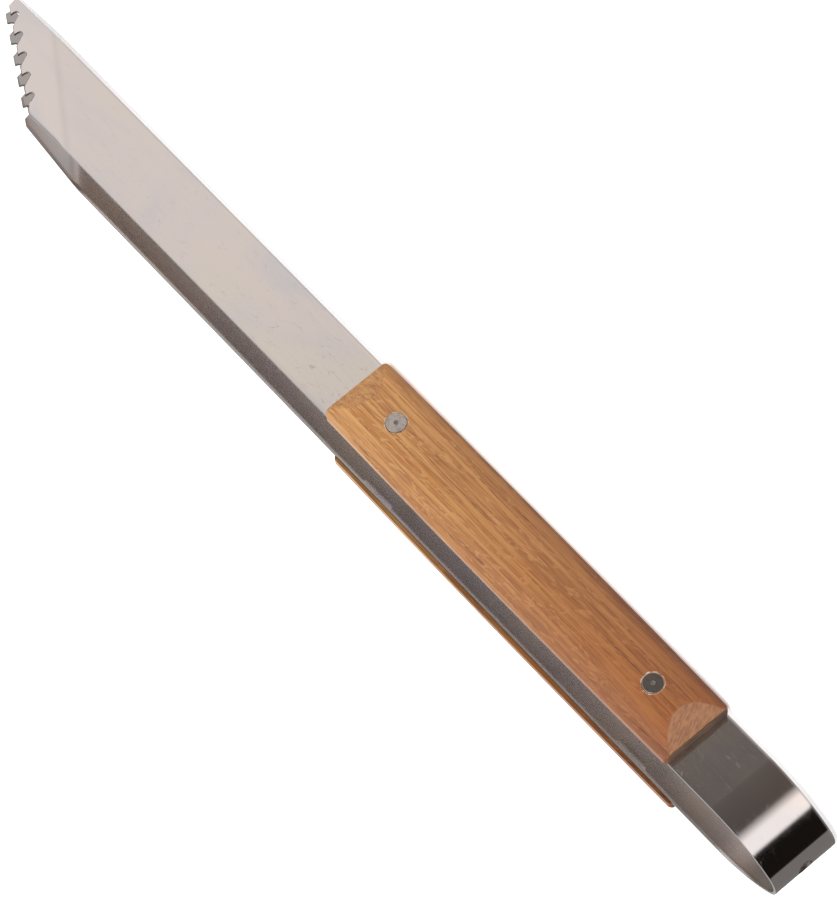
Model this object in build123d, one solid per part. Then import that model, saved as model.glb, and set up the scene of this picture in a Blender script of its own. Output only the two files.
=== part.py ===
from build123d import *
import os
from math import cos, hypot, radians, sin

# Long tongs bent from one steel strip: two flat arms joined by a rounded spring
# bow, with toothed ends and a wooden scale riveted on the outside of each arm.
# They lie on their side, the way they lie on a worktop: X runs from the bow to
# the toothed ends, Y is the way the arms open, Z is the width of the strip.
# The origin is on the worktop, under the middle of the tongs.
#
# The pieces of the front arm are first made flat, in the arm's own frame: x is
# the station along the arm, from the end of the bow, y is the depth below the
# arm's outside face, and z is the height from the middle of the strip. They
# are then leaned inwards. The back arm's pieces are made the same way and
# mirrored.

# The strip
STRIP_WIDTH = 25.0
STRIP_THICKNESS = 1.2
BOW_HALF_GAP = 16.3             # from the middle to the outside face of an arm
BOW_DEPTH = 29.5                # from the end of the arms to the back of the bow
BOW_FLANK_TURN = 40.0           # turned by each gently curved flank, in degrees
HANG_HOLE_DIAMETER = 5.5
ARM_LEAN = 0.5                  # each arm leans inwards by this, in degrees
FRONT_ARM_REACH = 375.0
BACK_ARM_REACH = 379.5

# The toothed ends
BLUNT_END = 3.8                 # straight part of the end, across the strip
TOOTH_EDGE_ANGLE = 30.0         # slant of the toothed edge, from the length
GULLET_COUNT = 5
FIRST_GULLET = 5.4              # along the slant, from the blunt end
GULLET_PITCH = 7.95
GULLET_ROOT_RADIUS = 1.4
GULLET_DEPTH = 3.1
GULLET_MOUTH = 3.9
TIP_CORNER_RADIUS = 1.5
FOLD_STATION = 353.0            # where the fold line crosses the lower edge
FOLD_RUN = 37.5                 # how far it then runs back to the upper edge
FOLD_ANGLE = 23.0
FOLD_RADIUS = 12.0

# The wooden scales
SCALE_START = 20.0
SCALE_LENGTH = 164.0
SCALE_END_WIDTH = 26.8
SCALE_MID_WIDTH = 28.0
SCALE_SIDE_WALL = 2.7           # straight side, before the crown starts
SCALE_END_WALL = 5.0            # straight end, before the sloped facet starts
SCALE_HEIGHT = 9.2
SCALE_BEVEL = 9.0               # length of the sloped facet at each end
SCALE_CORNER_RADIUS = 1.5
SCALE_EDGE_RADIUS = 1.0         # rounds the long edges into the crown

# The two-part rivets
RIVET_FROM_END = 20.5
HEAD_DIAMETER = 7.0
HEAD_THICKNESS = 1.3
HEAD_BELOW_CROWN = 0.1
HEAD_CLEARANCE = 0.1
DIMPLE_RADIUS = 0.8
DIMPLE_DEPTH = 0.2
SLEEVE_DIAMETER = 4.0
SLEEVE_CLEARANCE = 0.05
PIN_DIAMETER = 2.6
PIN_LENGTH = 6.5                # shank inside the sleeve
PIN_HEAD_THICKNESS = 0.9
PIN_HEAD_ROUNDING = 0.4

# Worked out
HALF_WIDTH = STRIP_WIDTH / 2
FACET_RISE = SCALE_HEIGHT - SCALE_END_WALL
SCALE_END = SCALE_START + SCALE_LENGTH
SLANT_LENGTH = (STRIP_WIDTH - BLUNT_END) / sin(radians(TOOTH_EDGE_ANGLE))
FOLD_LENGTH = hypot(FOLD_RUN, STRIP_WIDTH)
FOLD_ACROSS = Vector(STRIP_WIDTH, 0, FOLD_RUN) / FOLD_LENGTH
FOLD_ALONG = Vector(-FOLD_RUN, 0, STRIP_WIDTH) / FOLD_LENGTH
RIVET_STATIONS = {"rear": SCALE_START + RIVET_FROM_END, "fore": SCALE_END - RIVET_FROM_END}
FAR = 400.0                     # longer than anything a shape is cut by


def side_face(points):
    """Flat face through points given by their station and height."""
    return make_face(Polyline([(station, 0, height) for station, height in points], close=True))


def through(face):
    """Stretch a face seen from the side right through the arm."""
    return extrude(face, amount=FAR, both=True, dir=(0, 1, 0))


def on_rivet_axis(station, radius, low, high):
    """Cylinder across the arm, between two heights above its outside face."""
    rod = Cylinder(radius, high - low, align=(Align.CENTER, Align.CENTER, Align.MIN))
    return Location((station, -low, 0), (90, 0, 0)) * rod


def bow_radii():
    """Radii of the bow's flanks and of its back, outside.

    A flank turns from the arm's lean to `BOW_FLANK_TURN`, and the back turns
    the rest of the way, so both radii follow from the bow's depth and gap.
    """
    lean = radians(ARM_LEAN)
    turn = radians(BOW_FLANK_TURN)
    flank_out, flank_in = sin(turn) + sin(lean), cos(lean) - cos(turn)
    back_out, back_in = 1 - sin(turn), cos(turn)
    scale = flank_out * back_in - back_out * flank_in
    flank = (BOW_DEPTH * back_in - BOW_HALF_GAP * back_out) / scale
    back = (BOW_HALF_GAP * flank_out - BOW_DEPTH * flank_in) / scale
    return flank, back


def bow_line(depth):
    """Line of the bow at a depth below its outside face, arm to arm."""
    lean = radians(ARM_LEAN)
    flank, back = bow_radii()
    flank_turn = -(BOW_FLANK_TURN + ARM_LEAN)
    back_turn = -2 * (90 - BOW_FLANK_TURN)
    start = (-depth * sin(lean), depth * cos(lean) - BOW_HALF_GAP)
    first = JernArc(start, (-cos(lean), -sin(lean)), flank - depth, flank_turn)
    middle = JernArc(first @ 1, first % 1, back - depth, back_turn)
    last = JernArc(middle @ 1, middle % 1, flank - depth, flank_turn)
    return [first, middle, last]


def spring_bow():
    """Rounded bow that joins the arms, with the hole to hang the tongs by."""
    outside = bow_line(0)
    inside = bow_line(STRIP_THICKNESS)
    ends = [Line(outside[0] @ 0, inside[0] @ 0), Line(outside[2] @ 1, inside[2] @ 1)]
    section = make_face(Curve() + outside + inside + ends)
    bow = extrude(section, amount=HALF_WIDTH, both=True)
    hole = Location((-BOW_DEPTH, 0, 0), (0, 90, 0)) * Cylinder(HANG_HOLE_DIAMETER / 2, BOW_DEPTH)
    return bow - hole


def fold_start():
    """Where the bend of the fold starts, on the lower edge."""
    half_arc = FOLD_RADIUS * radians(FOLD_ANGLE) / 2
    return Vector(FOLD_STATION, 0, -HALF_WIDTH) - FOLD_ACROSS * half_arc


def folded_sheet():
    """Wide sheet with the fold that turns the toothed end inwards."""
    lines = []
    for depth in (0, STRIP_THICKNESS):
        flat = Line((-FAR, depth), (0, depth))
        bend = JernArc((0, depth), (1, 0), FOLD_RADIUS - depth, FOLD_ANGLE)
        tip = PolarLine(bend @ 1, STRIP_WIDTH * 2, FOLD_ANGLE)
        lines.append([flat, bend, tip])
    outside, inside = lines
    ends = [Line(outside[0] @ 0, inside[0] @ 0), Line(outside[2] @ 1, inside[2] @ 1)]
    section = make_face(Curve() + outside + inside + ends)
    plane = Plane(origin=fold_start(), x_dir=FOLD_ACROSS, z_dir=FOLD_ALONG)
    return extrude(plane * section, amount=FAR, both=True)


def folded_point(station, height):
    """Where a point of the flat strip is after folding, seen from the side.

    The part beyond the fold looks shorter by the cosine of the fold angle.
    """
    from_fold = Vector(station - FOLD_STATION, 0, height + HALF_WIDTH)
    lost = max(from_fold.dot(FOLD_ACROSS), 0) * (1 - cos(radians(FOLD_ANGLE)))
    return station - lost * FOLD_ACROSS.X, height - lost * FOLD_ACROSS.Z


def slant_point(reach, distance):
    """Point of the toothed edge, at a distance from the blunt end."""
    angle = radians(TOOTH_EDGE_ANGLE)
    height = BLUNT_END - HALF_WIDTH + distance * sin(angle)
    return folded_point(reach - distance * cos(angle), height)


def gullet(reach, distance):
    """Round-bottomed notch between two teeth, wider at its mouth."""
    station, height = slant_point(reach, distance)
    root = height - GULLET_DEPTH + GULLET_ROOT_RADIUS
    above = height + GULLET_DEPTH
    widening = (GULLET_MOUTH / 2 - GULLET_ROOT_RADIUS) / (height - root)
    half_top = GULLET_ROOT_RADIUS + widening * (above - root)
    walls = side_face([
        (station - GULLET_ROOT_RADIUS, root),
        (station + GULLET_ROOT_RADIUS, root),
        (station + half_top, above),
        (station - half_top, above),
    ])
    root_bore = Location((station, 0, root), (90, 0, 0)) * Cylinder(GULLET_ROOT_RADIUS, FAR)
    return through(walls) + root_bore


def arm_and_jaw(reach):
    """Flat arm from the bow's end to the fold, and the folded, toothed jaw.

    The two are one piece of steel, parted where the bend of the fold starts.
    """
    outline = side_face([
        (0, -HALF_WIDTH),
        (FOLD_STATION, -HALF_WIDTH),
        folded_point(reach, -HALF_WIDTH),
        slant_point(reach, 0),
        slant_point(reach, SLANT_LENGTH),
        (FOLD_STATION - FOLD_RUN, HALF_WIDTH),
        (0, HALF_WIDTH),
    ])
    plate = folded_sheet() & through(outline)
    for index in range(GULLET_COUNT):
        plate -= gullet(reach, FIRST_GULLET + index * GULLET_PITCH)
    tip_station, tip_height = folded_point(reach, -HALF_WIDTH)
    corners = plate.edges().filter_by(Axis.Y).sort_by_distance((tip_station, 0, tip_height))
    plate = fillet(corners[0], TIP_CORNER_RADIUS)
    for station in RIVET_STATIONS.values():
        plate -= on_rivet_axis(station, SLEEVE_DIAMETER / 2 + SLEEVE_CLEARANCE, -FAR, FAR)
    parting = Plane(origin=fold_start(), z_dir=FOLD_ACROSS)
    return split(plate, parting, keep=Keep.BOTTOM), split(plate, parting, keep=Keep.TOP)


def scale_plan():
    """Outline of a scale seen from the side, slightly bellied."""
    half_end = SCALE_END_WIDTH / 2
    half_mid = SCALE_MID_WIDTH / 2
    middle = (SCALE_START + SCALE_END) / 2
    near_low, near_high = (SCALE_START, 0, -half_end), (SCALE_START, 0, half_end)
    far_low, far_high = (SCALE_END, 0, -half_end), (SCALE_END, 0, half_end)
    return make_face(Curve() + [
        Line(near_low, near_high),
        ThreePointArc(near_high, (middle, 0, half_mid), far_high),
        Line(far_high, far_low),
        ThreePointArc(far_low, (middle, 0, -half_mid), near_low),
    ])


def crowned_bar():
    """Long bar with straight sides, rounded long edges and a crowned face."""
    half = SCALE_MID_WIDTH / 2
    left, right = (-half, SCALE_SIDE_WALL), (half, SCALE_SIDE_WALL)
    section = make_face(Curve() + [
        Line((half, 0), (-half, 0)),
        Line((-half, 0), left),
        ThreePointArc(left, (0, SCALE_HEIGHT), right),
        Line(right, (half, 0)),
    ])
    section = fillet(section.vertices().sort_by(Axis.Y)[-2:], SCALE_EDGE_RADIUS)
    across = Plane(origin=(0, 0, 0), x_dir=(0, 0, 1), z_dir=(1, 0, 0))
    return extrude(across * section, amount=FAR, both=True)


def beveled_block():
    """Block whose two ends slope from the straight wall up to the crown."""
    spare = 1.0
    run = SCALE_BEVEL * (1 + spare / FACET_RISE)
    profile = [
        (SCALE_START, 0),
        (SCALE_START, -SCALE_END_WALL),
        (SCALE_START + run, -SCALE_HEIGHT - spare),
        (SCALE_END - run, -SCALE_HEIGHT - spare),
        (SCALE_END, -SCALE_END_WALL),
        (SCALE_END, 0),
    ]
    return extrude(make_face(Polyline(profile, close=True)), amount=STRIP_WIDTH, both=True)


def scale():
    """Wooden scale: straight sides, rounded into a crowned face, and sloped ends."""
    body = through(scale_plan())
    body = fillet(body.edges().filter_by(Axis.Y), SCALE_CORNER_RADIUS)
    body &= crowned_bar()
    body &= beveled_block()
    seat = SCALE_HEIGHT - HEAD_BELOW_CROWN - HEAD_THICKNESS
    for station in RIVET_STATIONS.values():
        body -= on_rivet_axis(station, SLEEVE_DIAMETER / 2 + SLEEVE_CLEARANCE, -FAR, FAR)
        body -= on_rivet_axis(station, HEAD_DIAMETER / 2 + HEAD_CLEARANCE, seat, FAR)
    return body


def rivet_sleeve(station):
    """Outer half of a rivet: flat head in the wood, hollow shank."""
    top = SCALE_HEIGHT - HEAD_BELOW_CROWN
    seat = top - HEAD_THICKNESS
    sleeve = on_rivet_axis(station, HEAD_DIAMETER / 2, seat, top)
    sleeve += on_rivet_axis(station, SLEEVE_DIAMETER / 2, -STRIP_THICKNESS, seat)
    sleeve -= on_rivet_axis(station, PIN_DIAMETER / 2, -FAR, PIN_LENGTH - STRIP_THICKNESS)
    ball_radius = (DIMPLE_RADIUS ** 2 + DIMPLE_DEPTH ** 2) / (2 * DIMPLE_DEPTH)
    return sleeve - Pos(station, DIMPLE_DEPTH - top - ball_radius, 0) * Sphere(ball_radius)


def rivet_pin(station):
    """Inner half of a rivet: round head inside the arm, solid shank."""
    under = -STRIP_THICKNESS
    head = on_rivet_axis(station, HEAD_DIAMETER / 2, under - PIN_HEAD_THICKNESS, under)
    rim = head.edges().filter_by(GeomType.CIRCLE).sort_by(Axis.Y)[-1]
    head = fillet(rim, PIN_HEAD_ROUNDING)
    return head + on_rivet_axis(station, PIN_DIAMETER / 2, under, PIN_LENGTH - STRIP_THICKNESS)


def place():
    """Where the end of the bow goes, so that the tongs lie over the origin."""
    tip_station, _ = folded_point(BACK_ARM_REACH, -HALF_WIDTH)
    tip_x = tip_station * cos(radians(ARM_LEAN))
    return Location(((BOW_DEPTH - tip_x) / 2, 0, SCALE_MID_WIDTH / 2))


def save(name, shape):
    """Write one piece in its place on the worktop."""
    export_step(shape.moved(place()), f"parts/{name}.step")


def save_front(name, shape):
    """Write a piece of the front arm, leaned inwards."""
    save(f"front_{name}", shape.moved(Location((0, -BOW_HALF_GAP, 0), (0, 0, ARM_LEAN))))


def save_back(name, shape):
    """Write a piece of the back arm, leaned inwards."""
    leaned = shape.moved(Location((0, -BOW_HALF_GAP, 0), (0, 0, ARM_LEAN)))
    save(f"back_{name}", mirror(leaned, about=Plane.XZ))


def main():
    os.makedirs("parts", exist_ok=True)
    save("spring_bow", spring_bow())
    for save_piece, reach in ((save_front, FRONT_ARM_REACH), (save_back, BACK_ARM_REACH)):
        arm, jaw = arm_and_jaw(reach)
        save_piece("arm", arm)
        save_piece("jaw", jaw)
        save_piece("handle_scale", scale())
        for end, station in RIVET_STATIONS.items():
            save_piece(f"{end}_rivet_sleeve", rivet_sleeve(station))
            save_piece(f"{end}_rivet_pin", rivet_pin(station))


main()
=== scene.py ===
"""Long spring tongs: a bent steel strip, wooden handle scales and two-part rivets.

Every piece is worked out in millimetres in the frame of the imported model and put
into its mesh in metres. The pieces of an arm are first made flat, in the arm's own
frame: the station along the arm from the end of the bow, the depth below the
arm's outside face, and the height from the middle of the strip.
"""
import sys
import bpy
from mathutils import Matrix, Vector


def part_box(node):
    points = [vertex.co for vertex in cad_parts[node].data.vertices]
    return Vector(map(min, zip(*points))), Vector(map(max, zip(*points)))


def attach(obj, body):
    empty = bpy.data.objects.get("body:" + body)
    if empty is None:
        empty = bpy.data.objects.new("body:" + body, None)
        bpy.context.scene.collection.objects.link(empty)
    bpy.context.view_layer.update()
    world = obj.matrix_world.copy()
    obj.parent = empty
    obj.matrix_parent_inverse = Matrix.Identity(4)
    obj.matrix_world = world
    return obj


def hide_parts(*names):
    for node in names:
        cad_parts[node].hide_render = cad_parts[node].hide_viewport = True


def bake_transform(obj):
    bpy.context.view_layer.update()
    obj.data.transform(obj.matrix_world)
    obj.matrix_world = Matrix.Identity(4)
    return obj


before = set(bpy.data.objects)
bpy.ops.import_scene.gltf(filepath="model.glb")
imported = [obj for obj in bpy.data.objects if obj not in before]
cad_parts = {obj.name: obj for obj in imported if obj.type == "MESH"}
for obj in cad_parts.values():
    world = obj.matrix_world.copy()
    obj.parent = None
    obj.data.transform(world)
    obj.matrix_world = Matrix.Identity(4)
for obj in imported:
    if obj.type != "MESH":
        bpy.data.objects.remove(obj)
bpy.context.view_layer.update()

import logging
from dataclasses import dataclass, field
from enum import Enum
from math import cos, degrees, pi, radians, sin, tan
from typing import Any, Sequence

import bpy
import numpy as np
from mathutils import Matrix, Vector

LOG = logging.getLogger("tongs")
MM = 0.001
FAN_POWER = 1.3
Array = np.ndarray
Colour = tuple[float, float, float]
Shade = tuple[float, float, float, float]


class Side(Enum):
    """The two arms, with the sign of the direction that each one faces along Y."""

    FRONT = -1.0
    BACK = 1.0

    @property
    def word(self) -> str:
        """First word of the names of this side's pieces."""
        return self.name.lower()

    @property
    def body(self) -> str:
        """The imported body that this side's pieces ride on."""
        return f"{self.word}_half"


class RivetPlace(Enum):
    """The two rivets of an arm, by the end of the scale that they stand near."""

    REAR = "rear"
    FORE = "fore"


class Slot(Enum):
    """Material slots of the record."""

    STRIP = "strip_steel"
    WOOD = "scale_wood"
    RIVET = "rivet_steel"


# --------------------------------------------------------------------------
# Sizes, in millimetres and degrees
# --------------------------------------------------------------------------


@dataclass(frozen=True)
class StripSizes:
    """Sizes of the bent steel strip."""

    width: float = 25.0
    thickness: float = 1.2
    half_gap: float = 16.3
    bow_depth: float = 29.5
    flank_turn: float = 40.0
    lean: float = 0.5
    hang_hole_radius: float = 2.75
    front_reach: float = 375.0
    back_reach: float = 379.5
    edge_round: float = 0.12

    @property
    def half_width(self) -> float:
        """Half the width of the strip."""
        return self.width / 2


@dataclass(frozen=True)
class ToothSizes:
    """Sizes of the folded, toothed end of an arm."""

    blunt_end: float = 3.8
    slant: float = 30.0
    gullets: int = 5
    first: float = 5.4
    pitch: float = 7.95
    root_radius: float = 1.4
    depth: float = 3.1
    mouth: float = 3.9
    corner_radius: float = 1.5
    fold_station: float = 353.0
    fold_run: float = 37.5
    fold_angle: float = 23.0
    fold_radius: float = 12.0


@dataclass(frozen=True)
class ScaleSizes:
    """Sizes of a wooden handle scale."""

    start: float = 20.0
    length: float = 164.0
    end_width: float = 26.8
    mid_width: float = 28.0
    side_wall: float = 2.7
    end_wall: float = 5.0
    height: float = 9.2
    bevel: float = 9.0
    corner_radius: float = 1.5
    edge_radius: float = 1.0
    rim_round: float = 0.35
    crease_round: float = 0.12

    @property
    def end(self) -> float:
        """Station of the fore end."""
        return self.start + self.length

    @property
    def crown_radius(self) -> float:
        """Radius of the crowned face: (half width^2 + rise^2) / (2 * rise).

        Returns:
            The radius of the arc over the full width, from wall to wall.
        """
        rise = self.height - self.side_wall
        half = self.mid_width / 2
        return (half**2 + rise**2) / (2 * rise)


@dataclass(frozen=True)
class RivetSizes:
    """Sizes of a two-part rivet and of its seat in the wood."""

    from_end: float = 20.5
    head_radius: float = 3.5
    head_thickness: float = 1.3
    below_crown: float = 0.1
    clearance: float = 0.1
    chamfer: float = 0.28
    rim_round: float = 0.16
    dimple_radius: float = 0.8
    dimple_depth: float = 0.2
    sleeve_radius: float = 2.0
    sleeve_clearance: float = 0.05
    pin_radius: float = 1.3
    pin_length: float = 6.5
    pin_head: float = 0.9
    pin_head_round: float = 0.4


STRIP = StripSizes()
TEETH = ToothSizes()
SCALE = ScaleSizes()
RIVET = RivetSizes()
RIVET_STATIONS = {
    RivetPlace.REAR: SCALE.start + RIVET.from_end,
    RivetPlace.FORE: SCALE.end - RIVET.from_end,
}


# --------------------------------------------------------------------------
# Surfaces
# --------------------------------------------------------------------------


def grid_quads(along: int, across: int, ring: bool = False) -> Array:
    """Quads of a grid of points stored row after row.

    Quad (i, j) joins points (i, j), (i+1, j), (i+1, j+1) and (i, j+1).

    Args:
        along: number of rows of points.
        across: number of points in a row.
        ring: whether each row closes on itself.

    Returns:
        Point numbers, four to a quad.
    """
    i, j = np.meshgrid(np.arange(along - 1), np.arange(across - (not ring)), indexing="ij")
    after = (j + 1) % across
    corners = (i * across + j, (i + 1) * across + j, (i + 1) * across + after, i * across + after)
    return np.stack(corners, axis=-1).reshape(-1, 4)


@dataclass
class Solid:
    """A closed mesh, in millimetres.

    `rims` are the pairs of points whose edges get rounded, and `marks` are named
    values at the points, which a finish may read.
    """

    points: Array
    faces: list[Array]
    rims: Array = field(default_factory=lambda: np.zeros((0, 2), int))
    marks: dict[str, Array] = field(default_factory=dict)

    def volume(self) -> float:
        """Signed volume: the sum over triangles of a . (b x c) / 6.

        Returns:
            The volume, negative if the faces point inwards.
        """
        total = 0.0
        for block in self.faces:
            for step in range(1, block.shape[1] - 1):
                a, b, c = (self.points[block[:, k]] for k in (0, step, step + 1))
                total += float(np.einsum("ij,ij->i", a, np.cross(b, c)).sum())
        return total / 6

    def turned_outwards(self) -> "Solid":
        """Turn the faces round if they point inwards.

        Returns:
            This solid.
        """
        if self.volume() < 0:
            self.faces = [block[:, ::-1] for block in self.faces]
        return self


@dataclass
class Sheet:
    """A sheet with a point on its inside face for each point of its outside face."""

    outer: Array
    inner: Array
    quads: Array

    @staticmethod
    def joined(parts: Sequence["Sheet"]) -> "Sheet":
        """One sheet from parts that share points, which are then welded.

        Args:
            parts: sheets whose neighbouring points are in the same places.

        Returns:
            The welded sheet.
        """
        starts = np.cumsum([0] + [len(part.outer) for part in parts[:-1]])
        outer = np.concatenate([part.outer for part in parts])
        inner = np.concatenate([part.inner for part in parts])
        quads = np.concatenate([part.quads + start for part, start in zip(parts, starts)])
        _, first, same = np.unique(
            np.round(outer, 5), axis=0, return_index=True, return_inverse=True
        )
        return Sheet(outer[first], inner[first], same.reshape(-1)[quads])

    def closed(self, seam: Array | None = None) -> Solid:
        """The solid between the two faces, walled along every open edge.

        An edge is open if no quad runs along it the other way.

        Args:
            seam: points of the outside face that lie on a seam, whose edges stay sharp.

        Returns:
            The closed solid, with the open edges as its rims.
        """
        count = len(self.outer)
        edges = np.stack([self.quads, np.roll(self.quads, -1, axis=1)], axis=-1).reshape(-1, 2)
        forth = edges[:, 0] * count + edges[:, 1]
        back = edges[:, 1] * count + edges[:, 0]
        a, b = edges[~np.isin(forth, back)].T
        walls = np.stack([b, a, a + count, b + count], axis=-1)
        inside = self.quads[:, ::-1] + count
        rims = np.stack([a, b], axis=-1)
        if seam is not None:
            rims = rims[~(seam[a] & seam[b])]
        rims = np.concatenate([rims, rims + count])
        marks = {"inside": np.repeat([0.0, 1.0], count)}
        points = np.concatenate([self.outer, self.inner])
        return Solid(points, [self.quads, inside, walls], rims, marks)


def spans(stops: Sequence[float], pitch: float) -> Array:
    """Evenly filled positions through a list of stops.

    Args:
        stops: rising positions that must be met.
        pitch: largest distance between neighbours.

    Returns:
        The stops with positions spread evenly between them.
    """
    pieces = [
        np.linspace(low, high, max(int(np.ceil((high - low) / pitch)), 1) + 1)[:-1]
        for low, high in zip(stops[:-1], stops[1:])
    ]
    return np.concatenate(pieces + [np.array([stops[-1]])])


def quarter_drop(distance: Array, radius: float) -> Array:
    """How far a rounded edge falls below its face.

    A quarter circle: radius - sqrt(radius^2 - (radius - distance)^2) within the radius.

    Args:
        distance: distance from the edge.
        radius: radius of the rounding.

    Returns:
        The drop, nothing beyond the radius.
    """
    inside = np.clip(radius - distance, 0, radius)
    return radius - np.sqrt(radius**2 - inside**2)


def soft_least(a: Array, b: Array, width: float) -> Array:
    """The smaller of two heights, blended where they differ by less than a width.

    min(a, b) - h^2 * width / 4, where h falls from 1 to 0 as the difference grows
    from nothing to the width.

    Args:
        a: first heights.
        b: second heights.
        width: difference at which the blend ends.

    Returns:
        The blended heights.
    """
    h = np.clip(width - np.abs(a - b), 0, None) / width
    return np.minimum(a, b) - h**2 * width / 4


def fan_shares(rings: int, power: float) -> Array:
    """Shares of the way from a hole to the outline of its patch, closer near the hole."""
    return np.linspace(0, 1, rings + 1)[1:, None, None] ** power


def holed_rings(
    outline: Array, centre: float, radii: Sequence[float], steps: int
) -> Array:
    """Rings of points from a round hole out to the outline of a patch.

    The first rings are circles, and each later one is a mix of the last circle and
    the outline, all with their points in the outline's directions from the centre.

    Args:
        outline: closed loop of stations and heights.
        centre: station of the hole's centre, at the middle height.
        radii: radii of the circles.
        steps: number of rings from the last circle to the outline.

    Returns:
        Rings of stations and heights.
    """
    middle = np.array([centre, 0.0])
    angle = np.arctan2(outline[:, 1], outline[:, 0] - centre)
    way = np.stack([np.cos(angle), np.sin(angle)], axis=-1)
    circles = middle + np.asarray(radii)[:, None, None] * way
    share = fan_shares(steps, FAN_POWER)
    return np.concatenate([circles, (1 - share) * circles[-1] + share * outline])


def patch_outline(low: Array, high: Array, stations: Array, rows: Array) -> Array:
    """Closed loop round a patch of a plan.

    Args:
        low: lowest height at each station.
        high: highest height at each station.
        stations: stations along the patch.
        rows: shares of the height at its two ends.

    Returns:
        Loop of stations and heights: low side, fore end, high side, rear end.
    """
    fore = low[-1] + rows * (high[-1] - low[-1])
    rear = low[0] + rows * (high[0] - low[0])
    loop = [
        np.stack([stations, low], axis=-1),
        np.stack([np.full_like(rows, stations[-1]), fore], axis=-1)[1:],
        np.stack([stations, high], axis=-1)[::-1][1:],
        np.stack([np.full_like(rows, stations[0]), rear], axis=-1)[::-1][1:-1],
    ]
    return np.concatenate(loop)


@dataclass(frozen=True)
class ArmPlace:
    """Where the arms' own frames lie in the model's frame."""

    bow_end_x: float
    middle_z: float

    @classmethod
    def from_frame(cls) -> "ArmPlace":
        """Read the place of the bow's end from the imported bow."""
        low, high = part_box("spring_bow")
        return cls(low[0] / MM + STRIP.bow_depth, (low[2] + high[2]) / 2 / MM)

    def put(self, local: Array, side: Side) -> Array:
        """Lean points of an arm inwards and put them on their side of the tongs.

        A turn by the lean about the end of the bow, then the half gap along Y.

        Args:
            local: stations, depths and heights.
            side: the arm they belong to.

        Returns:
            Points in the model's frame.
        """
        station, depth, height = local.T
        lean = radians(STRIP.lean)
        x = self.bow_end_x + station * cos(lean) - depth * sin(lean)
        inwards = station * sin(lean) + depth * cos(lean) - STRIP.half_gap
        return np.stack([x, -inwards * side.value, self.middle_z + height], axis=-1)


# --------------------------------------------------------------------------
# Finishes
# --------------------------------------------------------------------------


def tint(red: int, green: int, blue: int) -> Shade:
    """A colour given as it is seen, turned to linear light.

    Args:
        red: red as it is seen, from 0 to 255.
        green: green as it is seen.
        blue: blue as it is seen.

    Returns:
        The colour in linear light, and 1 for its cover.
    """
    seen = np.array([red, green, blue]) / 255
    light = np.where(seen <= 0.04045, seen / 12.92, ((seen + 0.055) / 1.055) ** 2.4)
    return (*map(float, light), 1.0)


@dataclass(frozen=True)
class Grain:
    """A noise and how it is drawn.

    Attributes:
        cells: cells per metre along X, Y and Z.
        detail: octaves.
        rough: weight of the finer octaves.
        distortion: how far the noise is bent by itself.
        tilt: degrees that its pattern is turned about Y.
    """

    cells: Sequence[float]
    detail: float = 2.0
    rough: float = 0.5
    distortion: float = 0.0
    tilt: float = 0.0


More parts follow.
